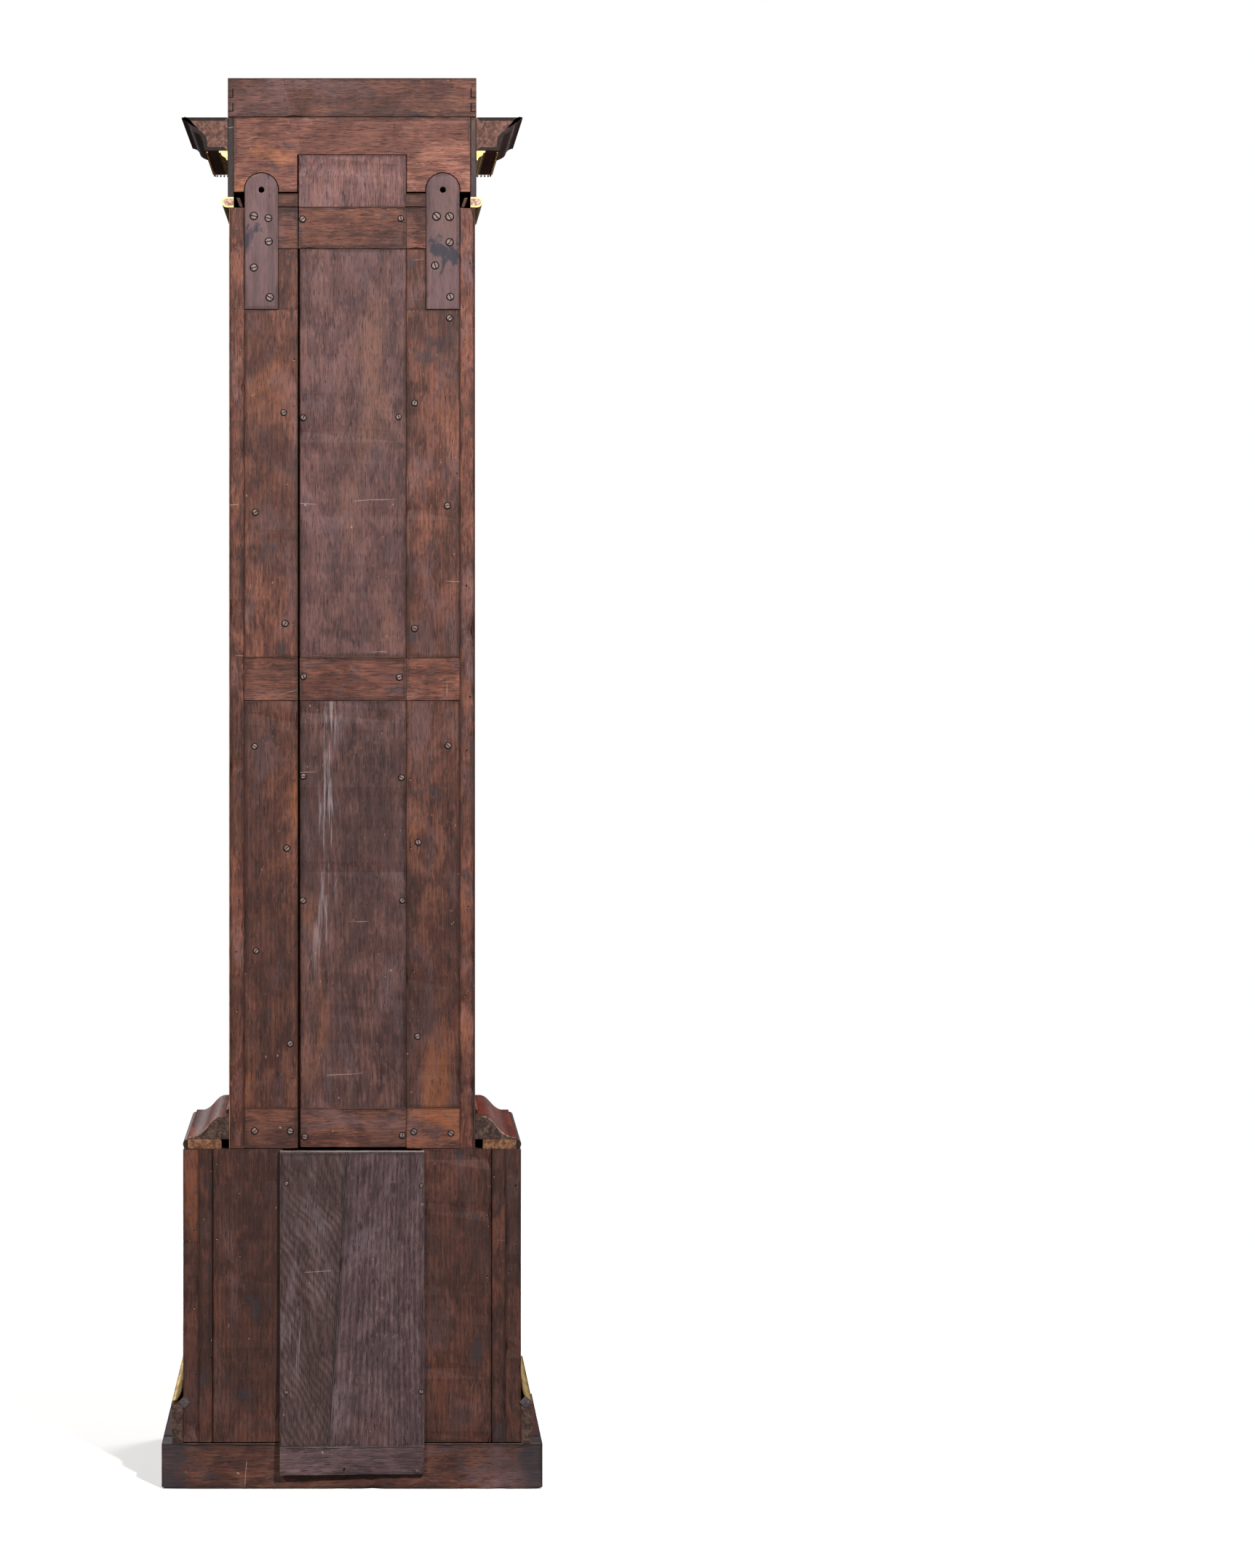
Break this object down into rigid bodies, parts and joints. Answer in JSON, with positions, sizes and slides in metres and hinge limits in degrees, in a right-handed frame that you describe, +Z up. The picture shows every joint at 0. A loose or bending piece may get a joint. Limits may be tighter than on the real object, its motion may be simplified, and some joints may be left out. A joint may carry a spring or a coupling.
{
  "type": "longcase clock",
  "caption": "Tall floor-standing pendulum clock with lift-off hood, glazed front doors and a closed weight chute down its back",
  "frame": {"origin": "on the floor, under the middle of the case's overall box", "axes": "+Z up; the dial and doors face -Y; the closed back, with the weight chute, faces +Y; +X is the case's left side seen from behind"},
  "size_m": [0.576, 0.3, 2.134],
  "materials": {
    "mahogany": "polished",
    "dark_oak": "old dry oil, worn",
    "cover_oak": "open grain, greyed",
    "pine": "bare, aged",
    "strap_wood": "stained, matt",
    "brass": "satin",
    "gilt": "old gilding",
    "lead": "cast lead, scratched",
    "steel": "bright, slightly dulled",
    "blued_steel": "blued",
    "silvered": "silvered brass, matt",
    "glass": "clear old glass",
    "gut": "natural gut"
  },
  "bodies": {
    "case": {"plinth": "mahogany", "skirting": "mahogany", "brass_cove": "brass", "base_side_left": "mahogany", "base_side_right": "mahogany", "base_front": "mahogany", "base_floor": "pine", "base_back_left": "dark_oak", "base_back_right": "dark_oak", "shoulder_moulding": "mahogany", "shoulder_packing": "pine", "trunk_side_left": "mahogany", "trunk_side_right": "mahogany", "trunk_back_left": "dark_oak", "trunk_back_right": "dark_oak", "chute_cheek_left": "dark_oak", "chute_cheek_right": "dark_oak", "chute_partition": "pine", "wall_strap_left": "strap_wood", "wall_strap_right": "strap_wood", "trunk_front_frame": "mahogany", "trunk_cap": "mahogany", "seatboard": "pine", "movement_front_plate": "brass", "movement_back_plate": "brass", "dial_plate": "silvered", "wheel_bracket": "steel", "line_tie_off": "steel", "gut_line": "gut"},
    "hood": {"hood_back": "dark_oak", "hood_side_left": "mahogany", "hood_side_right": "mahogany", "hood_front": "mahogany", "attic_box": "dark_oak", "cornice": "mahogany", "bed_mould": "gilt", "brass_torus": "brass"},
    "back_board": {"back_board": "dark_oak"},
    "base_cover": {"base_cover": "cover_oak"},
    "dial_door": {"dial_door_frame": "mahogany", "dial_door_glass": "glass"},
    "trunk_door": {"trunk_door_frame": "mahogany", "trunk_door_glass": "glass"},
    "weight": {"lead_weight": "lead", "s_hook": "steel", "pulley_stirrup": "brass"},
    "pulley": {"pulley_wheel": "brass"},
    "guide_rear": {"guide_wheel_rear": "brass"},
    "guide_front": {"guide_wheel_front": "brass"},
    "barrel": {"barrel": "brass"},
    "great_wheel": {"great_wheel": "brass"},
    "centre": {"centre_wheel": "brass", "minute_hand": "blued_steel"},
    "motion": {"hour_hand": "blued_steel"},
    "third": {"third_wheel": "brass"},
    "escape": {"escape_wheel": "brass", "seconds_hand": "blued_steel"},
    "anchor": {"pallets": "steel"},
    "pendulum": {"pendulum_rod": "steel", "pendulum_bob": "brass"}
  },
  "joints": [
    {"name": "hood_lift", "type": "slide", "parent": "case", "child": "hood", "axis": [0, 0, 1], "range_m": [0, 0.16]},
    {"name": "back_board_tip", "type": "hinge", "parent": "case", "child": "back_board", "pos_m": [0, 0.1362, 0.5163], "axis": [-1, 0, 0], "range_deg": [0, 90]},
    {"name": "base_cover_off", "type": "slide", "parent": "case", "child": "base_cover", "axis": [0, 1, 0], "range_m": [0, 0.12]},
    {"name": "dial_door_swing", "type": "hinge", "parent": "case", "child": "dial_door", "pos_m": [0.1396, -0.05, 1.754], "axis": [0, 0, 1], "range_deg": [0, 110]},
    {"name": "trunk_door_swing", "type": "hinge", "parent": "case", "child": "trunk_door", "pos_m": [0.1196, -0.05, 1.095], "axis": [0, 0, 1], "range_deg": [0, 110]},
    {"name": "weight_drop", "type": "slide", "parent": "case", "child": "weight", "axis": [0, 0, 1], "range_m": [-0.79, 0.58], "deforming": ["gut_line"]},
    {"name": "pulley_spin", "type": "hinge", "parent": "weight", "child": "pulley", "pos_m": [0.00295, 0.092, 1.2757], "axis": [0, 1, 0], "continuous": true},
    {"name": "guide_rear_spin", "type": "hinge", "parent": "case", "child": "guide_rear", "pos_m": [0.0252, 0.081, 1.989], "axis": [1, 0, 0], "continuous": true},
    {"name": "guide_front_spin", "type": "hinge", "parent": "case", "child": "guide_front", "pos_m": [0.0252, 0.019, 1.989], "axis": [1, 0, 0], "continuous": true},
    {"name": "barrel_turn", "type": "hinge", "parent": "case", "child": "barrel", "pos_m": [0, 0.007, 1.704], "axis": [0, 1, 0], "range_deg": [-3800, 2800]},
    {"name": "seconds_turn", "type": "hinge", "parent": "case", "child": "escape", "pos_m": [0, 0.012, 1.806], "axis": [0, 1, 0], "continuous": true},
    {"name": "minute_turn", "type": "hinge", "parent": "case", "child": "centre", "pos_m": [0, 0.018, 1.754], "axis": [0, 1, 0], "continuous": true},
    {"name": "hour_turn", "type": "hinge", "parent": "case", "child": "motion", "pos_m": [0, -0.013, 1.754], "axis": [0, 1, 0], "continuous": true},
    {"name": "third_turn", "type": "hinge", "parent": "case", "child": "third", "pos_m": [-0.01976, 0.003, 1.78409], "axis": [0, 1, 0], "continuous": true},
    {"name": "great_wheel_turn", "type": "hinge", "parent": "case", "child": "great_wheel", "pos_m": [0, -0.004, 1.704], "axis": [0, 1, 0], "continuous": true},
    {"name": "pendulum_swing", "type": "hinge", "parent": "case", "child": "pendulum", "pos_m": [0, 0.038, 1.836], "axis": [0, 1, 0], "range_deg": [-2.5, 2.5]},
    {"name": "anchor_rock", "type": "hinge", "parent": "case", "child": "anchor", "pos_m": [0, 0.012, 1.836], "axis": [0, 1, 0], "range_deg": [-2.5, 2.5]}
  ],
  "couplings": [
    {"joint": "pulley_spin", "follows": "weight_drop", "rad_per_m": -44.944},
    {"joint": "guide_rear_spin", "follows": "weight_drop", "rad_per_m": 181.82},
    {"joint": "guide_front_spin", "follows": "weight_drop", "rad_per_m": 181.82},
    {"joint": "barrel_turn", "follows": "weight_drop", "rad_per_m": 79.365},
    {"joint": "third_turn", "follows": "seconds_turn", "ratio": -0.13333},
    {"joint": "minute_turn", "follows": "seconds_turn", "ratio": 0.016667},
    {"joint": "hour_turn", "follows": "seconds_turn", "ratio": 0.0013889},
    {"joint": "great_wheel_turn", "follows": "seconds_turn", "ratio": -0.0013889},
    {"joint": "anchor_rock", "follows": "pendulum_swing", "ratio": 1}
  ]
}
